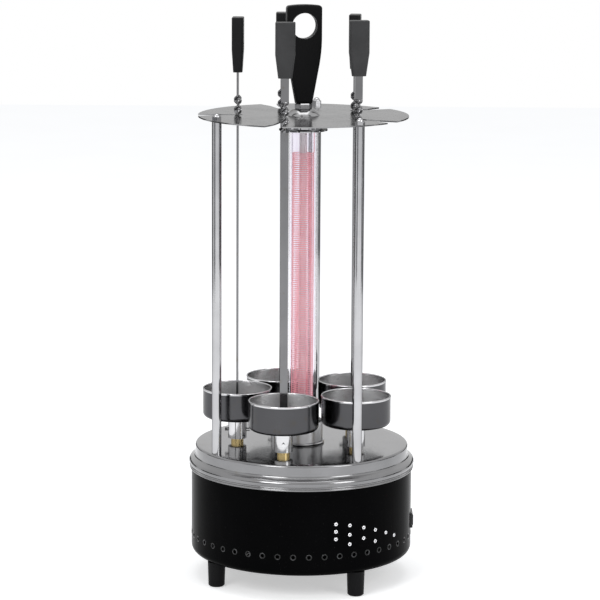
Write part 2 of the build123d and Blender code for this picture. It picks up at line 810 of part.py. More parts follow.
# ---------------------------------------------------------------- bushes
with BuildPart() as spindle_bushes:
    with Locations(*spots(station_radius, station_angles)):
        with Locations((0, 0, cover_top + upper_bush_over_cover - upper_bush_length)):
            Cylinder(bush_radius, upper_bush_length, align=(Align.CENTER, Align.CENTER, Align.MIN))
        with Locations((0, 0, cover_under - bush_flange)):
            Cylinder(bush_flange_radius, bush_flange, align=(Align.CENTER, Align.CENTER, Align.MIN))
        with Locations((0, 0, chassis_top + bush_flange - lower_bush_length)):
            Cylinder(bush_radius, lower_bush_length, align=(Align.CENTER, Align.CENTER, Align.MIN))
        with Locations((0, 0, chassis_top)):
            Cylinder(bush_flange_radius, bush_flange, align=(Align.CENTER, Align.CENTER, Align.MIN))
        with Locations((0, 0, chassis_under - lower_bush_length)):
            Cylinder(
                spindle_radius + running_gap,
                cover_top + upper_bush_over_cover - chassis_under + lower_bush_length,
                align=(Align.CENTER, Align.CENTER, Align.MIN),
                mode=Mode.SUBTRACT,
            )
write(spindle_bushes, "spindle_bushes")

# ---------------------------------------------------------------- the five stations
stem_foot = cover_top + stem_over_cover
cup_foot = cover_top + cup_over_cover
stem_top = cup_foot + cup_wall + stem_head
spindle_top = cover_top + spindle_over_cover
pin_middle = cover_top + stem_pin_height
key_floor = stem_top - stem_key_depth
blade_tip = key_floor + loose_gap
grip_foot = plate_top + grip_bottom_over_plate
twist_foot = plate_top - twist_start
twist_top = twist_foot + twist_length

for station, (angle, turn) in enumerate(zip(station_angles, blade_turns), start=1):

    with BuildPart() as spindle:
        with BuildSketch(around(station_radius, angle, chassis_under - spindle_foot)):
            Circle(spindle_radius)
        extrude(amount=spindle_top - chassis_under + spindle_foot)
        with BuildSketch(around(station_radius, angle, chassis_top + bush_flange + loose_gap)):
            Circle(spindle_collar_radius)
        extrude(amount=gear_foot - chassis_top - bush_flange - loose_gap)
        with BuildSketch(around(station_radius, angle, gear_foot, turn=turn)):
            Circle(spindle_seat_radius)
            Rectangle(3 * spindle_seat_radius, spindle_seat_flats, mode=Mode.INTERSECT)
        extrude(amount=gear_width)
        with BuildSketch(around(station_radius, angle, spindle_top, turn=turn)):
            Rectangle(2 * stem_pin_radius + loose_gap, 3 * spindle_radius)
        extrude(amount=pin_middle - stem_pin_radius - loose_gap - spindle_top, mode=Mode.SUBTRACT)
    write(spindle, f"spindle_{station}")

    with BuildPart() as spindle_gear:
        with BuildSketch(around(station_radius, angle, gear_foot, turn=mesh_turn(angle, spindle_teeth))):
            with BuildLine():
                Polyline(*tooth_profile(spindle_teeth), close=True)
            make_face()
        extrude(amount=gear_width)
        with BuildSketch(around(station_radius, angle, gear_foot, turn=turn)):
            Circle(spindle_seat_radius + fixed_gap)
            Rectangle(3 * spindle_seat_radius, spindle_seat_flats + 2 * fixed_gap, mode=Mode.INTERSECT)
        extrude(amount=gear_width, mode=Mode.SUBTRACT)
    write(spindle_gear, f"spindle_gear_{station}")

    station_point = around(station_radius, angle).origin
    profile_plane = Plane(station_point, x_dir=(1, 0, 0), z_dir=(0, -1, 0))
    station_axis = Axis(station_point, (0, 0, 1))
    with BuildPart() as cup_stem:
        with BuildSketch(profile_plane):
            with BuildLine():
                Polyline(
                    (0, spindle_top + loose_gap),
                    (spindle_radius + running_gap, spindle_top + loose_gap),
                    (spindle_radius + running_gap, stem_foot),
                    (stem_radius, stem_foot),
                    (stem_radius, cup_foot - stem_cone_height),
                    (stem_cone_radius, cup_foot),
                    (stem_neck_radius, cup_foot),
                    (stem_neck_radius, cup_foot + cup_wall),
                    (stem_head_radius, cup_foot + cup_wall),
                    (stem_head_radius, stem_top),
                    (0, stem_top),
                    close=True,
                )
            make_face()
        revolve(axis=station_axis)
        with BuildSketch(around(station_radius, angle, stem_top, turn=turn)):
            Rectangle(blade_width + 2 * key_gap, blade_thickness + 2 * key_gap)
        extrude(amount=-stem_key_depth, mode=Mode.SUBTRACT)
        pin_plane = Plane(
            around(station_radius, angle, pin_middle).origin,
            x_dir=(0, 0, 1),
            z_dir=around(0, 0, turn=turn + 90).x_dir,
        )
        with BuildSketch(pin_plane):
            Circle(stem_pin_radius + pin_gap)
        extrude(amount=stem_pin_length / 2, both=True, mode=Mode.SUBTRACT)
        with BuildSketch(pin_plane):
            Circle(stem_pin_radius)
        extrude(amount=stem_pin_length / 2, both=True)
    write(cup_stem, f"cup_stem_{station}")

    with BuildPart() as drip_cup:
        with BuildSketch(profile_plane):
            with BuildLine():
                cup_skin = Polyline(
                    (stem_neck_radius + fixed_gap, cup_foot),
                    (cup_radius - cup_corner, cup_foot),
                    (cup_radius - cup_corner * (1 - sin(pi / 6)), cup_foot + cup_corner * (1 - cos(pi / 6))),
                    (cup_radius - cup_corner * (1 - cos(pi / 6)), cup_foot + cup_corner * (1 - sin(pi / 6))),
                    (cup_radius, cup_foot + cup_corner),
                    (cup_radius, cup_foot + cup_height),
                )
                offset(cup_skin, amount=cup_wall, side=Side.LEFT, kind=Kind.INTERSECTION)
            make_face()
        revolve(axis=station_axis)
    write(drip_cup, f"drip_cup_{station}")

    with BuildPart() as skewer:
        with BuildSketch(around(station_radius, angle, blade_tip, turn=turn)):
            Rectangle(blade_point_width, blade_thickness)
        with BuildSketch(around(station_radius, angle, blade_tip + blade_point_length, turn=turn)):
            Rectangle(blade_width, blade_thickness)
        loft()
        with BuildSketch(around(station_radius, angle, blade_tip + blade_point_length, turn=turn)):
            Rectangle(blade_width, blade_thickness)
        extrude(amount=twist_foot - blade_tip - blade_point_length)
        for step in range(twist_steps + 1):
            share = step / twist_steps
            twist_plane = around(
                station_radius,
                angle,
                twist_foot + twist_length * share,
                turn=turn + 180 * twist_half_turns * share,
            )
            with BuildSketch(twist_plane):
                Rectangle(blade_width, blade_thickness)
        loft()
        with BuildSketch(around(station_radius, angle, twist_top, turn=turn)):
            Rectangle(blade_width, blade_thickness)
        extrude(amount=grip_foot + blade_in_grip - twist_top)
    write(skewer, f"skewer_{station}")

    with BuildPart() as skewer_grip:
        for height, width, thickness in (
            (grip_foot, grip_foot_width, grip_foot_thickness),
            (grip_foot + grip_taper_length, grip_width, grip_thickness),
            (grip_foot + grip_length, grip_width, grip_thickness),
        ):
            with BuildSketch(around(station_radius, angle, height, turn=turn)):
                RectangleRounded(width, thickness, grip_corner)
        loft(ruled=True)
        fillet(edges().group_by(Axis.Z)[-1], grip_edge)
        with BuildSketch(around(station_radius, angle, grip_foot, turn=turn)):
            Rectangle(blade_width + 2 * fixed_gap, blade_thickness + 2 * fixed_gap)
        extrude(amount=blade_in_grip + fixed_gap, mode=Mode.SUBTRACT)
    write(skewer_grip, f"skewer_grip_{station}")

# ---------------------------------------------------------------- rocker switch
switch_plane = through_wall(90, drum_foot + switch_height)
with BuildPart() as switch_body:
    with BuildSketch(switch_plane.offset(bezel_proud)):
        RectangleRounded(bezel_width, bezel_height, bezel_corner)
    extrude(amount=-bezel_proud - bezel_sink)
    with BuildSketch(Plane.XY.offset(drum_foot)):
        Circle(housing_radius)
    extrude(amount=housing_height, mode=Mode.SUBTRACT)
    with BuildSketch(switch_plane.offset(bezel_proud)):
        Rectangle(switch_width, switch_tall)
    extrude(amount=-switch_depth)
    rocker_pivot = switch_plane.offset(rocker_pivot_out)
    with BuildSketch(switch_plane.offset(bezel_proud)):
        Rectangle(rocker_bay_width, rocker_tall + 2 * rocker_room)
    extrude(amount=-rocker_bay_depth, mode=Mode.SUBTRACT)
    with BuildSketch(Plane(rocker_pivot.origin, x_dir=(1, 0, 0), z_dir=(0, 0, 1))):
        Circle(rocker_pin_radius + running_gap)
    extrude(amount=switch_tall / 2, both=True, mode=Mode.SUBTRACT)
write(switch_body, "switch_body")

with BuildPart() as rocker:
    rocker_x = rocker_pivot.z_dir.rotate(Axis.Z, rocker_tilt)
    with BuildSketch(Plane(rocker_pivot.origin, x_dir=rocker_x, z_dir=(0, 0, 1))):
        with BuildLine():
            Polyline(
                (rocker_end, rocker_width / 2),
                (rocker_valley, 0),
                (rocker_end, -rocker_width / 2),
                (-rocker_tail, -rocker_width / 4),
                (-rocker_tail, rocker_width / 4),
                close=True,
            )
        make_face()
    extrude(amount=rocker_tall / 2, both=True)
    with BuildSketch(Plane(rocker_pivot.origin, x_dir=(1, 0, 0), z_dir=(0, 0, 1))):
        Circle(rocker_pin_radius)
    extrude(amount=switch_tall / 2 - rocker_room, both=True)
write(rocker, "rocker")

# ---------------------------------------------------------------- cord gland and terminals
with BuildPart() as cord_gland:
    gland_plane = through_wall(180, drum_foot + gland_height)
    with BuildSketch(gland_plane.offset(gland_proud)):
        Circle(gland_flange_radius)
    extrude(amount=-2 * gland_proud)
    with BuildSketch(Plane.XY.offset(drum_foot)):
        Circle(housing_radius)
    extrude(amount=housing_height, mode=Mode.SUBTRACT)
    with BuildSketch(gland_plane.offset(gland_proud)):
        Circle(gland_body_radius)
    extrude(amount=-gland_depth)
    with BuildSketch(gland_plane.offset(gland_proud - gland_depth)):
        Circle(gland_catch_radius)
    extrude(amount=gland_catch_length)
    with BuildSketch(gland_plane.offset(gland_proud)):
        Circle(gland_bore_radius)
    extrude(amount=-gland_depth, mode=Mode.SUBTRACT)
write(cord_gland, "cord_gland")

with BuildPart() as terminal_block:
    with BuildSketch(around(terminal_ring, terminal_angle, floor_top, turn=terminal_angle)):
        Rectangle(terminal_length, terminal_width)
    extrude(amount=terminal_tall)
    with BuildSketch(around(terminal_ring, terminal_angle, floor_top + terminal_tall, turn=terminal_angle)):
        with GridLocations(terminal_screw_pitch, 0, 3, 1):
            Circle(terminal_screw_radius)
    extrude(amount=-terminal_tall / 2, mode=Mode.SUBTRACT)
write(terminal_block, "terminal_block")
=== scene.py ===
import math

import bmesh
import bpy
from mathutils import Matrix, Vector


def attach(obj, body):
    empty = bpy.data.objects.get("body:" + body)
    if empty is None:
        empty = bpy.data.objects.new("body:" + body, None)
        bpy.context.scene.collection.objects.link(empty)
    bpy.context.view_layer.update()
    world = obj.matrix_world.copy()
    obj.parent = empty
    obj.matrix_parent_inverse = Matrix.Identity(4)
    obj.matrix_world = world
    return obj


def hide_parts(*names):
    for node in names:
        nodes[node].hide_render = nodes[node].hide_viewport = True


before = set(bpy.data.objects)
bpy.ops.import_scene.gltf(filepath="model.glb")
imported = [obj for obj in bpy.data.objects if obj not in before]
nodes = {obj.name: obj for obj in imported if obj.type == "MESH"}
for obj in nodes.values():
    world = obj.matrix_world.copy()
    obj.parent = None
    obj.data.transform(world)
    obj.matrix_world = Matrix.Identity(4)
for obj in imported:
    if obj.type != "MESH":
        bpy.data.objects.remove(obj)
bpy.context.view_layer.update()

# Sizes are in mm and angles in degrees from the front (-Y) towards +X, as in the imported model.
MM = 0.001                  # one millimetre in metres
DRUM_RADIUS = 102.7
DRUM_FOOT = 23.0
COVER_TOP = 125.5
COVER_SHEET = 0.8
COVER_HOLE = 17.0
STATIONS = [-16.0 + 72.0 * k for k in range(5)]
STATION_RADIUS = 60.0
CUP_FOOT = 150.0
CUP_HEIGHT = 27.5
CUP_RADIUS = 32.0
CUP_WALL = 0.7
CUP_CORNER = 4.5
CUP_BORE = 5.6
CUP_RIM = 0.75              # radius of the rolled rim


# ------------------------------------------------------------------ material building blocks
def tree_of(name):
    material = bpy.data.materials.new(name)
    material.use_nodes = True
    nodes_ = material.node_tree.nodes
    nodes_.clear()
    out = nodes_.new("ShaderNodeOutputMaterial")
    shader = nodes_.new("ShaderNodeBsdfPrincipled")
    material.node_tree.links.new(shader.outputs[0], out.inputs["Surface"])
    return material, material.node_tree, shader


def link(tree, source, target):
    tree.links.new(source, target)


def coordinates(tree, scale=(1, 1, 1)):
    """Object coordinates in metres, stretched by a scale."""
    where = tree.nodes.new("ShaderNodeTexCoord")
    mapping = tree.nodes.new("ShaderNodeMapping")
    mapping.inputs["Scale"].default_value = scale
    link(tree, where.outputs["Object"], mapping.inputs["Vector"])
    return mapping.outputs["Vector"]


def noise(tree, vector, scale, detail=3.0, roughness=0.55):
    node = tree.nodes.new("ShaderNodeTexNoise")
    node.inputs["Scale"].default_value = scale
    node.inputs["Detail"].default_value = detail
    node.inputs["Roughness"].default_value = roughness
    link(tree, vector, node.inputs["Vector"])
    return node.outputs["Fac"]


def spread(tree, value, low, high, from_low=0.3, from_high=0.7):
    node = tree.nodes.new("ShaderNodeMapRange")
    node.inputs["From Min"].default_value = from_low
    node.inputs["From Max"].default_value = from_high
    node.inputs["To Min"].default_value = low
    node.inputs["To Max"].default_value = high
    link(tree, value, node.inputs["Value"])
    return node.outputs["Result"]


def between(tree, share, first, second):
    """A colour that goes from the first to the second as the share goes from 0 to 1."""
    node = tree.nodes.new("ShaderNodeMix")
    node.data_type = "RGBA"
    for socket, colour in (("A", first), ("B", second)):
        slot = [i for i in node.inputs if i.name == socket and i.type == "RGBA"][0]
        if isinstance(colour, (tuple, list)):
            slot.default_value = (*colour[:3], 1)
        else:
            link(tree, colour, slot)
    link(tree, share, node.inputs["Factor"])
    return [o for o in node.outputs if o.type == "RGBA"][0]


def sums(tree, kind, first, second):
    node = tree.nodes.new("ShaderNodeMath")
    node.operation = kind
    node.use_clamp = kind == "ADD"
    for slot, value in zip(node.inputs, (first, second)):
        if isinstance(value, (int, float)):
            slot.default_value = value
        else:
            link(tree, value, slot)
    return node.outputs[0]


def bump(tree, shader, height, strength, distance):
    node = tree.nodes.new("ShaderNodeBump")
    node.inputs["Strength"].default_value = strength
    node.inputs["Distance"].default_value = distance
    link(tree, height, node.inputs["Height"])
    link(tree, node.outputs["Normal"], shader.inputs["Normal"])


def edges(tree, reach=0.5):
    """1 along edges within a reach in mm, 0 on flats: where a rounded normal leaves the true one."""
    geometry = tree.nodes.new("ShaderNodeNewGeometry")
    rounded = tree.nodes.new("ShaderNodeBevel")
    rounded.samples = 4
    rounded.inputs["Radius"].default_value = reach * MM
    dot = tree.nodes.new("ShaderNodeVectorMath")
    dot.operation = "DOT_PRODUCT"
    link(tree, geometry.outputs["Normal"], dot.inputs[0])
    link(tree, rounded.outputs["Normal"], dot.inputs[1])
    return spread(tree, dot.outputs["Value"], 1, 0, 0.75, 0.99)


def lighter(colour, factor):
    return tuple(min(1.0, c * factor) for c in colour)


# ------------------------------------------------------------------ materials
# How the grain is stretched along x, y and z: a large number makes fine lines across that axis.
EVEN = (1, 1, 1)
SPUN = (1, 1, 30)
PRESSED = (1, 1, 25)
TURNED = (1, 1, 20)
ROUND_CAN = (1, 1, 12)
DRAWN_TUBE = (1, 1, 0.05)
ROLLED_BLADE = (6, 6, 0.1)


def metal(name, colour, rough, grain=EVEN, grain_scale=900.0, grain_strength=0.05, smudge=0.25,
          stain=None, rim=0.55):
    """Polished or brushed metal: fine grain, wiped smudges in the gloss, faint stains, bright edges.

    The rim is how bright the metal stays where it is seen edge on.
    """
    material, tree, shader = tree_of(name)
    shader.inputs["Metallic"].default_value = 1.0
    shader.inputs["Specular Tint"].default_value = (rim, rim, rim, 1)
    where = coordinates(tree)
    cloud = noise(tree, where, 38.0, 4.0)
    fine = noise(tree, coordinates(tree, grain), grain_scale, 2.0)
    base = between(tree, spread(tree, cloud, 0, 1), lighter(colour, 0.9), lighter(colour, 1.06))
    if stain:
        spots = spread(tree, noise(tree, where, 95.0, 5.0, 0.65), 0, 1, 0.6, 0.72)
        base = between(tree, sums(tree, "MULTIPLY", spots, 0.45), base, stain)
    base = between(tree, sums(tree, "MULTIPLY", edges(tree), 0.5), base, lighter(colour, 1.5))
    link(tree, base, shader.inputs["Base Color"])
    gloss = sums(tree, "ADD", spread(tree, cloud, rough * (1 - smudge), rough * (1 + smudge)),
                 spread(tree, fine, -0.25 * rough, 0.25 * rough))
    link(tree, gloss, shader.inputs["Roughness"])
    bump(tree, shader, fine, grain_strength, 0.0002)
    return material


def moulded(name, colour, rough, grain=1500.0, strength=0.25, worn=2.2, shine=0.2):
    """Moulded plastic: fine sparkled grain, sink and shine differences, dust, and rubbed lighter edges."""
    material, tree, shader = tree_of(name)
    where = coordinates(tree)
    fine = noise(tree, where, grain, 3.0, 0.6)
    broad = noise(tree, where, 45.0, 3.0)
    dust = spread(tree, noise(tree, where, 620.0, 2.0), 0, 1, 0.66, 0.74)
    base = between(tree, spread(tree, broad, 0, 1), lighter(colour, 0.8), lighter(colour, 1.2))
    base = between(tree, sums(tree, "MULTIPLY", dust, 0.12), base, lighter(colour, 3.0))
    base = between(tree, sums(tree, "MULTIPLY", edges(tree), 0.6), base, lighter(colour, worn))
    link(tree, base, shader.inputs["Base Color"])
    link(tree, spread(tree, broad, rough - 0.07, rough + 0.09), shader.inputs["Roughness"])
    shader.inputs["Specular IOR Level"].default_value = shine
    bump(tree, shader, fine, strength, 0.00012)
    return material


def enamel(name, colour, shine=0.012, glint_patches=False):
    """Gloss black enamel on sheet: orange peel, dust, wiping haze, rubbed edges; optionally lighter noise
    patches, which are painted glints.
    """
    material, tree, shader = tree_of(name)
    where = coordinates(tree)
    peel = noise(tree, where, 260.0, 2.0)
    haze = noise(tree, where, 24.0, 4.0)
    dust = spread(tree, noise(tree, where, 780.0, 2.0), 0, 1, 0.69, 0.76)
    base = between(tree, spread(tree, haze, 0, 1), lighter(colour, 0.8), lighter(colour, 1.25))
    base = between(tree, sums(tree, "MULTIPLY", dust, 0.06), base, (0.25, 0.24, 0.23))
    # Painted glints: lighter noise patches in the base colour stand in for scattered specular strokes.
    if glint_patches:
        painted_glints = spread(tree, noise(tree, where, 230.0, 1.0), 0, 1, 0.5, 0.66)
        base = between(tree, painted_glints, base, lighter(colour, 9.0))
    base = between(tree, sums(tree, "MULTIPLY", edges(tree), 0.3), base, (0.05, 0.05, 0.055))
    link(tree, base, shader.inputs["Base Color"])
    link(tree, spread(tree, haze, 0.14, 0.25), shader.inputs["Roughness"])
    shader.inputs["Specular IOR Level"].default_value = shine
    bump(tree, shader, peel, 0.06, 0.0004)
    return material


def quartz(name):
    """Clear fused quartz with a faint lilac cast, drawing lines along its length and a handled haze."""
    material, tree, shader = tree_of(name)
    drawn = noise(tree, coordinates(tree, (1, 1, 0.03)), 420.0, 2.0)
    haze = noise(tree, coordinates(tree), 60.0, 4.0)
    base = between(tree, spread(tree, haze, 0, 1), (0.93, 0.90, 0.96), (0.98, 0.96, 1.0))
    link(tree, base, shader.inputs["Base Color"])
    link(tree, spread(tree, haze, 0.02, 0.09), shader.inputs["Roughness"])
    shader.inputs["Transmission Weight"].default_value = 1.0
    shader.inputs["IOR"].default_value = 1.46
    bump(tree, shader, drawn, 0.05, 0.0002)
    return material


def ceramic(name, colour):
    """Unglazed steatite: chalky mottling, pores and scorched patches."""
    material, tree, shader = tree_of(name)
    where = coordinates(tree)
    broad = noise(tree, where, 55.0, 4.0)
    pores = noise(tree, where, 1100.0, 3.0, 0.7)
    base = between(tree, spread(tree, broad, 0, 1), colour, lighter(colour, 0.82))
    pits = spread(tree, pores, 0, 1, 0.6, 0.75)
    base = between(tree, sums(tree, "MULTIPLY", pits, 0.4), base, (0.45, 0.40, 0.34))
    link(tree, base, shader.inputs["Base Color"])
    link(tree, spread(tree, broad, 0.6, 0.8), shader.inputs["Roughness"])
    bump(tree, shader, pores, 0.3, 0.0003)
    return material


def pink_glow_wire(name):
    """Oxidised resistance wire with a pink base and a faint even pink emission: a painted glow, the same all
    along the coil.
    """
    material, tree, shader = tree_of(name)
    where = coordinates(tree)
    scale_ = noise(tree, where, 160.0, 3.0)
    fine = noise(tree, where, 2600.0, 2.0)
    base = between(tree, spread(tree, scale_, 0, 1), (0.66, 0.26, 0.30), (0.80, 0.40, 0.43))
    link(tree, base, shader.inputs["Base Color"])
    shader.inputs["Metallic"].default_value = 0.35
    link(tree, spread(tree, fine, 0.35, 0.6), shader.inputs["Roughness"])
    # Painted glow: a faint even emission lifts the wire's pink; the wire is no lamp.
    shader.inputs["Emission Color"].default_value = (1.0, 0.42, 0.46, 1)
    shader.inputs["Emission Strength"].default_value = 0.26
    bump(tree, shader, fine, 0.2, 0.0001)
    return material


looks = {
    "enamel": enamel("enamel_black", (0.0018, 0.0018, 0.002)),
    # The burr collars' lighter patches are painted glints.
    "burr": enamel("enamel_burr", (0.006, 0.006, 0.0063), shine=0.3, glint_patches=True),
    "cover": metal("cover_polish", (0.24, 0.24, 0.245), 0.14, SPUN, 500.0, 0.03, smudge=0.3,
                   stain=(0.19, 0.175, 0.15), rim=0.95),
    "plate": metal("plate_polish", (0.34, 0.34, 0.345), 0.18, EVEN, 900.0, 0.03, smudge=0.25,
                   stain=(0.26, 0.24, 0.20), rim=0.55),
    "chrome": metal("chrome_bright", (0.46, 0.46, 0.47), 0.08, DRAWN_TUBE, 700.0, 0.02, smudge=0.3,
                    rim=0.12),
    "stem": metal("stem_chrome", (0.64, 0.64, 0.65), 0.12, TURNED, 500.0, 0.03, smudge=0.3, rim=0.15),
    # One pressed steel in three copies: the dark outside, a much lighter inside that is painted light in the
    # bowl, and a light rolled rim that is a painted highlight line.
    "cup": metal("cup_steel", (0.078, 0.078, 0.082), 0.2, PRESSED, 420.0, 0.05, smudge=0.35,
                 stain=(0.08, 0.07, 0.055), rim=0.8),
    "cup_inside_painted_lit": metal("cup_inside_painted_lit", (0.64, 0.64, 0.645), 0.32, PRESSED, 420.0, 0.03, smudge=0.2,
                        stain=(0.38, 0.33, 0.27), rim=0.9),
    "rim": metal("cup_rim_painted_highlight", (0.60, 0.60, 0.61), 0.15, PRESSED, 420.0, 0.03, smudge=0.3),
    # Bright steel for the fan collars: painted white glints in the fan holes.
    "vent_glint": metal("vent_glint_steel", (0.80, 0.80, 0.82), 0.2, EVEN, 700.0, 0.05, smudge=0.3),
    "skewer": metal("skewer_steel", (0.19, 0.19, 0.195), 0.10, ROLLED_BLADE, 500.0, 0.05, smudge=0.3,
                    stain=(0.14, 0.12, 0.09), rim=0.85),
    "satin": metal("satin_steel", (0.66, 0.66, 0.67), 0.34, TURNED, 500.0, 0.03, smudge=0.2,
                   stain=(0.5, 0.46, 0.40), rim=0.8),
    "zinc": metal("zinc_plate", (0.52, 0.53, 0.56), 0.36, EVEN, 260.0, 0.12, smudge=0.2,
                  stain=(0.36, 0.36, 0.33)),
    "brass": metal("brass_turned", (0.88, 0.68, 0.32), 0.22, TURNED, 500.0, 0.05, smudge=0.3,
                   stain=(0.32, 0.21, 0.09)),
    "spindle": metal("spindle_steel", (0.46, 0.46, 0.47), 0.2, TURNED, 500.0, 0.05, smudge=0.3),
    "motor": metal("motor_can", (0.48, 0.49, 0.50), 0.32, ROUND_CAN, 420.0, 0.1, smudge=0.2),
    "grip": moulded("grip_phenolic", (0.006, 0.006, 0.0065), 0.4, shine=0.15),
    # The two front grips get a lighter copy of the grip plastic: painted light on the faces turned to the
    # lamps.
    "grip_painted_lit": moulded("grip_phenolic_painted_lit", (0.040, 0.040, 0.041), 0.5, worn=1.6),
    "carry": moulded("carry_phenolic", (0.003, 0.003, 0.0033), 0.38, worn=3.0, shine=0.08),
    "foot": moulded("foot_rubber", (0.0045, 0.0045, 0.005), 0.55, grain=900.0, strength=0.35, shine=0.12),
    "switch": moulded("switch_plastic", (0.010, 0.010, 0.011), 0.3, grain=1800.0, strength=0.15, shine=0.4),
    "gear": moulded("gear_polyamide", (0.74, 0.71, 0.62), 0.45, grain=900.0, strength=0.15, worn=1.1,
                    shine=0.5),
    "terminal": moulded("terminal_polyamide", (0.66, 0.65, 0.60), 0.5, grain=900.0, strength=0.2, worn=1.1,
                        shine=0.5),
    "quartz": quartz("quartz_clear"),
    "ceramic": ceramic("steatite", (0.88, 0.86, 0.84)),
    "wire": pink_glow_wire("resistance_wire"),
}
node_looks = {
    "housing_drum": "enamel", "bottom_plate": "enamel", "feet": "foot", "chassis_plate": "zinc",
    "frame_spacers": "zinc", "tie_rods": "zinc", "base_cover": "cover", "post_front_left": "chrome",
    "post_front_right": "chrome", "post_back": "chrome", "top_plate": "plate", "cap_nuts": "chrome",
    "heater_socket": "satin", "coil_former": "ceramic", "quartz_tube": "quartz", "heating_coil": "wire",
    "insulator_cap": "ceramic", "heater_holder": "chrome", "dome_washer": "plate", "handle_stud": "chrome",
    "carry_handle": "carry", "drive_gear": "gear", "motor_pinion": "zinc", "gear_motor": "motor",
    "motor_screws": "zinc", "spindle_bushes": "brass", "switch_body": "switch", "rocker": "switch",
    "cord_gland": "foot", "terminal_block": "terminal",
}
for station in range(1, 6):
    node_looks[f"spindle_{station}"] = "spindle"
    node_looks[f"spindle_gear_{station}"] = "gear"
    node_looks[f"cup_stem_{station}"] = "stem"
    node_looks[f"drip_cup_{station}"] = "cup"
    node_looks[f"skewer_{station}"] = "skewer"
    # Stations 1 and 2 take the lighter grip copy: painted light.
    node_looks[f"skewer_grip_{station}"] = "grip_painted_lit" if station in (1, 2) else "grip"
for name, look in node_looks.items():
    piece = nodes[name]
    if not piece.material_slots:
        piece.data.materials.append(None)
    for material_slot in piece.material_slots:
        material_slot.material = looks[look]


# ------------------------------------------------------------------ pieces
def station_point(angle, radius=STATION_RADIUS):
    return radius * math.sin(math.radians(angle)), -radius * math.cos(math.radians(angle))


def finish_mesh(name, bm, look, body, replaced=(), smooth=True):
    mesh = bpy.data.meshes.new(name)
    bmesh.ops.recalc_face_normals(bm, faces=bm.faces)
    bm.to_mesh(mesh)
    bm.free()
    if smooth:
        for polygon in mesh.polygons:
            polygon.use_smooth = True
        mesh.set_sharp_from_angle(angle=math.radians(40))
    piece = bpy.data.objects.new(name, mesh)
    bpy.context.scene.collection.objects.link(piece)
    piece.data.materials.append(looks[look])
    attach(piece, body)
    if replaced:
        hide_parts(*replaced)
    return piece


def tube_along(bm, points, radius, sides, frames):
    """A tube through points, each with its own pair of cross directions."""
    rings = []
    for point, (u, v) in zip(points, frames):
        rings.append([
            bm.verts.new(point + u * (radius * math.cos(2 * math.pi * s / sides))
                         + v * (radius * math.sin(2 * math.pi * s / sides)))
            for s in range(sides)
        ])
    for ring, after in zip(rings, rings[1:]):
        for s in range(sides):
            bm.faces.new((ring[s], ring[(s + 1) % sides], after[(s + 1) % sides], after[s]))
    bm.faces.new(rings[0][::-1])
    bm.faces.new(rings[-1])


def straight(foot, top, radius, across):
    """Points and cross directions of a lead that runs straight up beside the axis."""
    steps = 6
    points = [Vector((radius, 0, foot + (top - foot) * k / steps)) * MM for k in range(steps + 1)]
    return points, [(Vector((1, 0, 0)), Vector((0, across, 0)))] * (steps + 1)


def fine_coil():
    """The winding as it really is: about 130 close turns inside the quartz tube, with a lead at each end."""
    turns, per_turn, radius, wire = 130, 28, 10.0, 0.42
    foot, height = 165.5, 232.0
    lead_foot, lead_top = 139.5, 421.5
    bm = bmesh.new()
    points, frames = straight(lead_foot, foot, radius, 1)
    points, frames = points[:-1], frames[:-1]
    for step in range(turns * per_turn + 1):
        turn = step / per_turn
        angle = 2 * math.pi * turn
        out = Vector((math.cos(angle), math.sin(angle), 0))
        points.append((out * radius + Vector((0, 0, foot + height * turn / turns))) * MM)
        frames.append((out, Vector((0, 0, 1))))
    upper, upper_frames = straight(foot + height, lead_top, radius, -1)
    points += upper[1:]
    frames += upper_frames[1:]
    tube_along(bm, points, wire * MM, 6, frames)
    return finish_mesh("heating_winding", bm, "wire", "base", ["heating_coil"])


def revolved(name, rings, segments, look, body, replaced=(), centre=(0, 0), closed=False,
             inside=()):
    """A surface of revolution through (radius, height) pairs in mm.

    `inside` lists (ring number, look) where another look takes over further along the profile.
    """
    bm = bmesh.new()
    rows = []
    for radius, height in rings:
        rows.append([
            bm.verts.new(Vector((
                centre[0] + radius * math.cos(2 * math.pi * k / segments),
                centre[1] + radius * math.sin(2 * math.pi * k / segments),
                height,
            )) * MM)
            for k in range(segments)
        ])
    pairs = list(zip(rows, rows[1:])) + ([(rows[-1], rows[0])] if closed else [])
    for number, (row, after) in enumerate(pairs):
        for k in range(segments):
            face = bm.faces.new((row[k], row[(k + 1) % segments], after[(k + 1) % segments], after[k]))
            face.material_index = sum(number >= first for first, _ in inside)
    piece = finish_mesh(name, bm, look, body, replaced)
    for _, second in inside:
        piece.data.materials.append(looks[second])
    return piece


def arc(centre_r, centre_z, radius, start, end, steps):
    """Profile points of an arc; angles in degrees, 0 is outwards and 90 is up."""
    return [
        (centre_r + radius * math.cos(math.radians(start + (end - start) * k / steps)),
         centre_z + radius * math.sin(math.radians(start + (end - start) * k / steps)))
        for k in range(steps + 1)
    ]


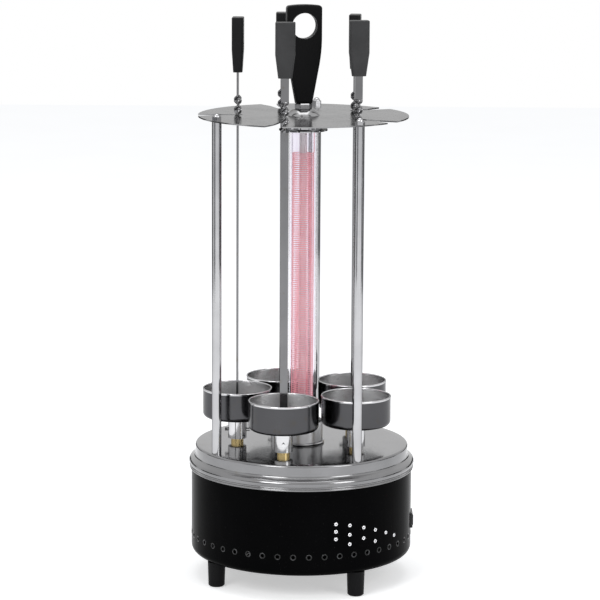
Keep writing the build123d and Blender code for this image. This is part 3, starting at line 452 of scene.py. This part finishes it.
def cover():
    """The pressed cover: rounded top edge, wall, shoulder, full lip and a hemmed edge with two beads."""
    wall, edge = 99.0, 2.0
    shoulder, shoulder_drop = 2.6, 9.6
    lip, lip_drop = 3.8, 16.4
    upper_bead, lower_bead = 0.75, 0.8
    under = COVER_TOP - COVER_SHEET
    outer = [(r, COVER_TOP) for r in (COVER_HOLE, 40, 70, 90)]
    outer += arc(wall - edge, COVER_TOP - edge, edge, 90, 0, 8)
    outer += [(wall, COVER_TOP - shoulder_drop + 1.0)]
    outer += arc(wall + shoulder, COVER_TOP - shoulder_drop, shoulder, 180, 236, 7)
    outer += arc(DRUM_RADIUS - 1.5, COVER_TOP - lip_drop, lip, 62, -18, 12)
    outer += [(DRUM_RADIUS + 1.6, COVER_TOP - 18.6)]
    outer += arc(DRUM_RADIUS + 1.2, COVER_TOP - 19.7, upper_bead, 70, -60, 6)
    outer += [(DRUM_RADIUS + 1.05, COVER_TOP - 20.9)]
    outer += arc(DRUM_RADIUS + 0.8, COVER_TOP - 21.9, lower_bead, 60, -90, 7)
    inner = [
        (DRUM_RADIUS + 0.5, COVER_TOP - 22.6),
        (DRUM_RADIUS + 0.45, COVER_TOP - 19.0),
        (100.2, COVER_TOP - 12.2),
        (wall - COVER_SHEET, COVER_TOP - 10.0),
        (wall - COVER_SHEET, COVER_TOP - 2.4),
        (wall - 2.4, under),
        (COVER_HOLE, under),
    ]
    return revolved("cover_shell", outer + inner, 288, "cover", "base", ["base_cover"],
                    closed=True)


def drip_cup(number, angle):
    """A pressed cup: flat floor with a raised ring, small corner, straight wall and a rolled rim."""
    rim_height = CUP_FOOT + CUP_HEIGHT - CUP_RIM
    bend, floor_top, raised = CUP_RADIUS - CUP_CORNER, CUP_FOOT + CUP_WALL, 0.5
    outer = [(CUP_BORE, CUP_FOOT), (16.0, CUP_FOOT)]
    outer += arc(bend, CUP_FOOT + CUP_CORNER, CUP_CORNER, -90, 0, 8)
    outer += [(CUP_RADIUS, rim_height - 1.1)]
    rim = arc(CUP_RADIUS - 0.45, rim_height, CUP_RIM, -40, 200, 10)
    inner = [(CUP_RADIUS - CUP_WALL, rim_height - 1.2), (CUP_RADIUS - CUP_WALL, CUP_FOOT + CUP_CORNER)]
    inner += arc(bend, CUP_FOOT + CUP_CORNER, CUP_CORNER - CUP_WALL, 0, -90, 8)
    inner += [(24.0, floor_top), (22.8, floor_top + raised), (14.0, floor_top + raised), (12.8, floor_top)]
    inner += [(CUP_BORE, floor_top)]
    # The rim and the inside take lighter copies of the cup steel: painted highlight on the rim, painted
    # light in the bowl.
    takes_over = ((len(outer) - 1, "rim"), (len(outer) + len(rim), "cup_inside_painted_lit"))
    return revolved(f"cup_shell_{number}", outer + rim + inner, 112, "cup", f"cup_{number}",
                    [f"drip_cup_{number}"], station_point(angle), True, takes_over)


RING_VENTS, RING_HEIGHT, RING_HOLE = 45, 41.5, 2.1
GLAND_SIDE = 10             # no vent is nearer than this to the back, where the cord's gland is
FAN_HOLE = 1.7
# Each column of the fan: its angle, its top hole over the drum's foot, its pitch down, its holes.
FAN = (
    (17.9, 48.5, 7.0, 3),
    (25.5, 46.3, 8.8, 3),
    (33.7, 42.5, 9.9, 2),
    (41.3, 38.2, 10.5, 2),
    (49.1, 33.2, 0, 1),
    (56.4, 28.0, 0, 1),
)


def collars(name, spots, hole, lip, look):
    """Small burred collars round punched holes in the drum, in one mesh."""
    bm = bmesh.new()
    around_, profile = 24, 8
    for angle, height in spots:
        out = Vector((math.sin(math.radians(angle)), -math.cos(math.radians(angle)), 0))
        side = Vector((-out.y, out.x, 0))
        rings = []
        for a in range(around_):
            turn = 2 * math.pi * a / around_
            way = side * math.cos(turn) + Vector((0, 0, 1)) * math.sin(turn)
            ring = []
            for q in range(profile):
                part = 2 * math.pi * q / profile
                reach = hole + lip * 0.35 + lip * math.cos(part)
                sink = DRUM_RADIUS - math.sqrt(max(0, DRUM_RADIUS ** 2 - (reach * math.cos(turn)) ** 2))
                proud = lip * 0.45 * math.sin(part)
                point = out * (DRUM_RADIUS - sink + proud) + way * reach + Vector((0, 0, height))
                ring.append(bm.verts.new(point * MM))
            rings.append(ring)
        for a in range(around_):
            ring, after = rings[a], rings[(a + 1) % around_]
            for q in range(profile):
                bm.faces.new((ring[q], after[q], after[(q + 1) % profile], ring[(q + 1) % profile]))
    return finish_mesh(name, bm, look, "base")


fine_coil()
cover()
for number_, angle_ in enumerate(STATIONS, 1):
    drip_cup(number_, angle_)
ring_spots = [(360 / RING_VENTS * (k + 0.5), RING_HEIGHT) for k in range(RING_VENTS)]
ring_spots = [spot for spot in ring_spots if abs(spot[0] - 180) > GLAND_SIDE]
collars("vent_collars", ring_spots, RING_HOLE, 0.5, "burr")
fan_spots = [(a, DRUM_FOOT + top - pitch * row) for a, top, pitch, count in FAN for row in range(count)]
# The fan collars nearly fill their holes with bright steel: painted white glints.
collars("fan_collars", fan_spots, FAN_HOLE - 0.75, 0.55, "vent_glint")

# ------------------------------------------------------------------ stage, light and camera
scene = bpy.context.scene
scene.view_settings.view_transform = "Standard"


def flat_piece(name, size, place, turn, look):
    mesh = bpy.data.meshes.new(name)
    half_x, half_y = size[0] / 2, size[1] / 2
    corners = [(-half_x, -half_y, 0), (half_x, -half_y, 0), (half_x, half_y, 0), (-half_x, half_y, 0)]
    mesh.from_pydata(corners, [], [(0, 1, 2, 3)])
    piece = bpy.data.objects.new(name, mesh)
    scene.collection.objects.link(piece)
    piece.location = place
    piece.rotation_euler = turn
    piece.data.materials.append(look)
    return piece


def seen_directly(tree):
    """1 for camera, glossy and transmission rays, 0 for the light that falls on things."""
    path = tree.nodes.new("ShaderNodeLightPath")
    mirrored = sums(tree, "ADD", path.outputs["Is Glossy Ray"], path.outputs["Is Transmission Ray"])
    return sums(tree, "ADD", path.outputs["Is Camera Ray"], mirrored)


def stage_material(name, colour, lift):
    """A matt stage colour that camera, glossy and transmission rays see brighter by a lift."""
    material, tree, shader = tree_of(name)
    patches = spread(tree, noise(tree, coordinates(tree), 6.0), 0, 1)
    base = between(tree, patches, lighter(colour, 0.98), colour)
    link(tree, base, shader.inputs["Base Color"])
    shader.inputs["Roughness"].default_value = 0.9
    shader.inputs["Specular IOR Level"].default_value = 0.0
    glow = tree.nodes.new("ShaderNodeEmission")
    both = tree.nodes.new("ShaderNodeAddShader")
    link(tree, sums(tree, "MULTIPLY", seen_directly(tree), lift), glow.inputs["Strength"])
    link(tree, shader.outputs[0], both.inputs[0])
    link(tree, glow.outputs[0], both.inputs[1])
    out = [n for n in tree.nodes if n.type == "OUTPUT_MATERIAL"][0]
    link(tree, both.outputs[0], out.inputs["Surface"])
    return material


FLOOR_SIDE, FLOOR_DROP, FLOOR_LIFT = 8, 0.0002, 0.49
flat_piece("floor", (FLOOR_SIDE, FLOOR_SIDE), (0, 0, -FLOOR_DROP), (0, 0, 0),
           stage_material("floor_white", (0.86, 0.86, 0.86), FLOOR_LIFT))

world = bpy.data.worlds.new("studio")
scene.world = world
world.use_nodes = True
wt = world.node_tree
wt.nodes.clear()
world_out = wt.nodes.new("ShaderNodeOutputWorld")
lit = wt.nodes.new("ShaderNodeBackground")
lit.inputs["Color"].default_value = (0.95, 0.97, 1.0, 1)
lit.inputs["Strength"].default_value = 0.55
seen = wt.nodes.new("ShaderNodeBackground")
seen.inputs["Color"].default_value = (1, 1, 1, 1)
seen.inputs["Strength"].default_value = 1.0
pick = wt.nodes.new("ShaderNodeMixShader")
link(wt, seen_directly(wt), pick.inputs["Fac"])
link(wt, lit.outputs[0], pick.inputs[1])
link(wt, seen.outputs[0], pick.inputs[2])
link(wt, pick.outputs[0], world_out.inputs["Surface"])


CARD_HEIGHT = 0.36          # low, so that level surfaces never mirror a card


def card(name, azimuth, width, distance, look):
    """A dark or grey card at the edge of the set that only reflections see; sizes in metres."""
    angle = math.radians(azimuth)
    place = (distance * math.sin(angle), -distance * math.cos(angle), CARD_HEIGHT / 2)
    piece = flat_piece(name, (width, CARD_HEIGHT), place, (math.radians(90), 0, angle), looks[look])
    piece.visible_camera = False
    piece.visible_diffuse = False
    piece.visible_shadow = False
    piece.visible_transmission = False


looks["flag"] = moulded("flag_cloth", (0.03, 0.03, 0.03), 0.9, grain=400.0, strength=0.3,
                        worn=1.1, shine=0.0)
looks["grey_flag"] = moulded("grey_flag_cloth", (0.30, 0.30, 0.31), 0.9, grain=400.0, strength=0.3,
                             worn=1.1, shine=0.0)
# Each card: its name, azimuth, width, distance and look.
CARDS = (
    ("flag_grey_left", -46, 0.95, 1.7, "grey_flag"),
    ("flag_grey_right", 66, 0.85, 1.7, "grey_flag"),
    ("flag_side_1", -102, 0.9, 1.6, "flag"),
    ("flag_back_1", -146, 1.0, 1.8, "flag"),
    ("flag_side_3", 102, 0.9, 1.6, "flag"),
    ("flag_back_3", 146, 1.0, 1.8, "flag"),
)
for one_card in CARDS:
    card(*one_card)


def lamp(name, place, target, size, power):
    """A soft rectangular lamp, in metres and watts, aimed at a point of the object."""
    light = bpy.data.lights.new(name, "AREA")
    light.shape = "RECTANGLE"
    light.size, light.size_y = size
    light.energy = power
    piece = bpy.data.objects.new(name, light)
    scene.collection.objects.link(piece)
    piece.location = place
    piece.rotation_euler = (Vector(target) - Vector(place)).to_track_quat("-Z", "Y").to_euler()


lamp("key", (-1.2, -1.9, 1.7), (0, 0, 0.25), (1.0, 1.0), 20)
lamp("fill", (1.5, -1.5, 1.2), (0, 0, 0.25), (0.8, 1.2), 11)
lamp("top", (0, 0.2, 2.2), (0, 0, 0.3), (1.4, 1.4), 12)

# The camera, fitted to the photograph: its place in mm, its angles in degrees and its focal
# length in the photograph's pixels.
EYE = (-2.2, -2574.5, 722.9)
PITCH, ROLL, FOCAL_PX = 10.2, 0.32, 2826.4
PHOTO_SIDE, SENSOR, FAR_CLIP = 600, 36, 50
camera_data = bpy.data.cameras.new("camera")
camera_data.sensor_width = SENSOR
camera_data.lens = FOCAL_PX * SENSOR / PHOTO_SIDE
camera_data.clip_end = FAR_CLIP
camera = bpy.data.objects.new("camera", camera_data)
scene.collection.objects.link(camera)
camera.matrix_world = (
    Matrix.Translation(Vector(EYE) * MM)
    @ Matrix.Rotation(math.radians(90 - PITCH), 4, "X")
    @ Matrix.Rotation(math.radians(ROLL), 4, "Z")
)
scene.camera = camera
